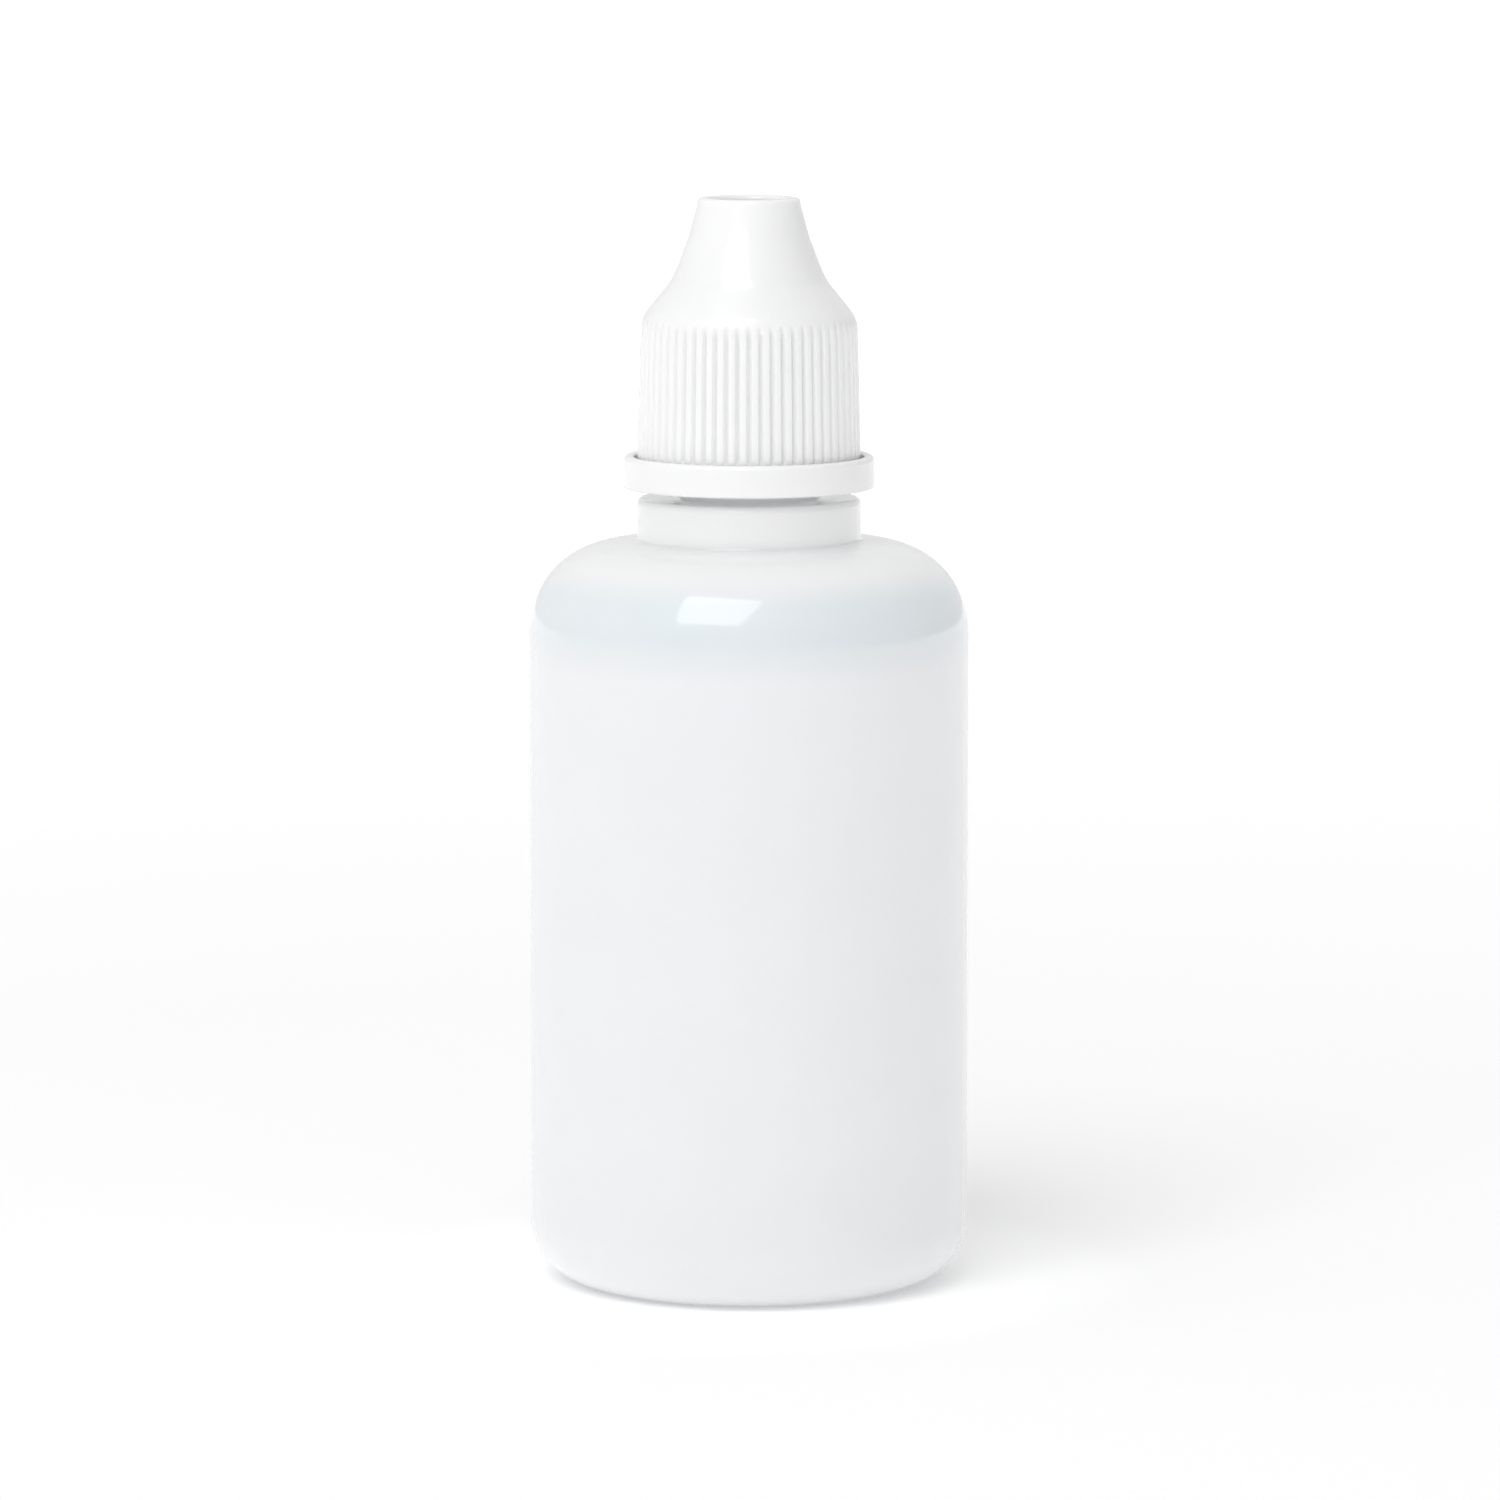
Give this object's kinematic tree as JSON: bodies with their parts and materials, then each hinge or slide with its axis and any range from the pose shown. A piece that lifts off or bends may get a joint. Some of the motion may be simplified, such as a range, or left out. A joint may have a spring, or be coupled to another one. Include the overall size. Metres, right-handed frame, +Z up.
{
  "type": "dropper bottle",
  "caption": "Filled squeeze dropper bottle: soft translucent cylinder with a round shoulder, nozzle plug, threaded inner cap, ribbed push-and-turn outer cap and tamper ring.",
  "frame": {"origin": "centre of the foot, on the bottle's axis, at the height that the bottle stands on", "axes": "+Z up along the bottle's axis, towards the cap; the threads' runs start at +X"},
  "size_m": [0.0366, 0.0366, 0.0904],
  "materials": {
    "bottle_plastic": "translucent low-density polyethylene, satin, slightly waxy",
    "plug_plastic": "milky low-density polyethylene, satin",
    "liquid": "clear colourless liquid",
    "white_cap_plastic": "white polypropylene, semi-gloss"
  },
  "bodies": {
    "bottle": {"bottle_body": "bottle_plastic", "dropper_plug": "plug_plastic", "liquid_fill": "liquid"},
    "ring": {"tamper_ring": "white_cap_plastic"},
    "threaded_cap": {"inner_cap": "white_cap_plastic"},
    "push_cap": {"outer_cap": "white_cap_plastic"}
  },
  "joints": [
    {"name": "cap_turn", "type": "hinge", "parent": "bottle", "child": "ring", "pos_m": [0, 0, 0.0695], "axis": [0, 0, 1], "range_deg": [0, 2881]},
    {"name": "cap_lift", "type": "slide", "parent": "ring", "child": "threaded_cap", "axis": [0, 0, 1], "range_m": [0, 0.0216]},
    {"name": "cap_press", "type": "slide", "parent": "threaded_cap", "child": "push_cap", "axis": [0, 0, -1], "range_m": [0, 0.0014], "stiffness_N_per_m": 20, "springref_m": -0.001}
  ],
  "couplings": [
    {"joint": "cap_turn", "follows": "cap_lift", "rad_per_m": 2327.1}
  ]
}
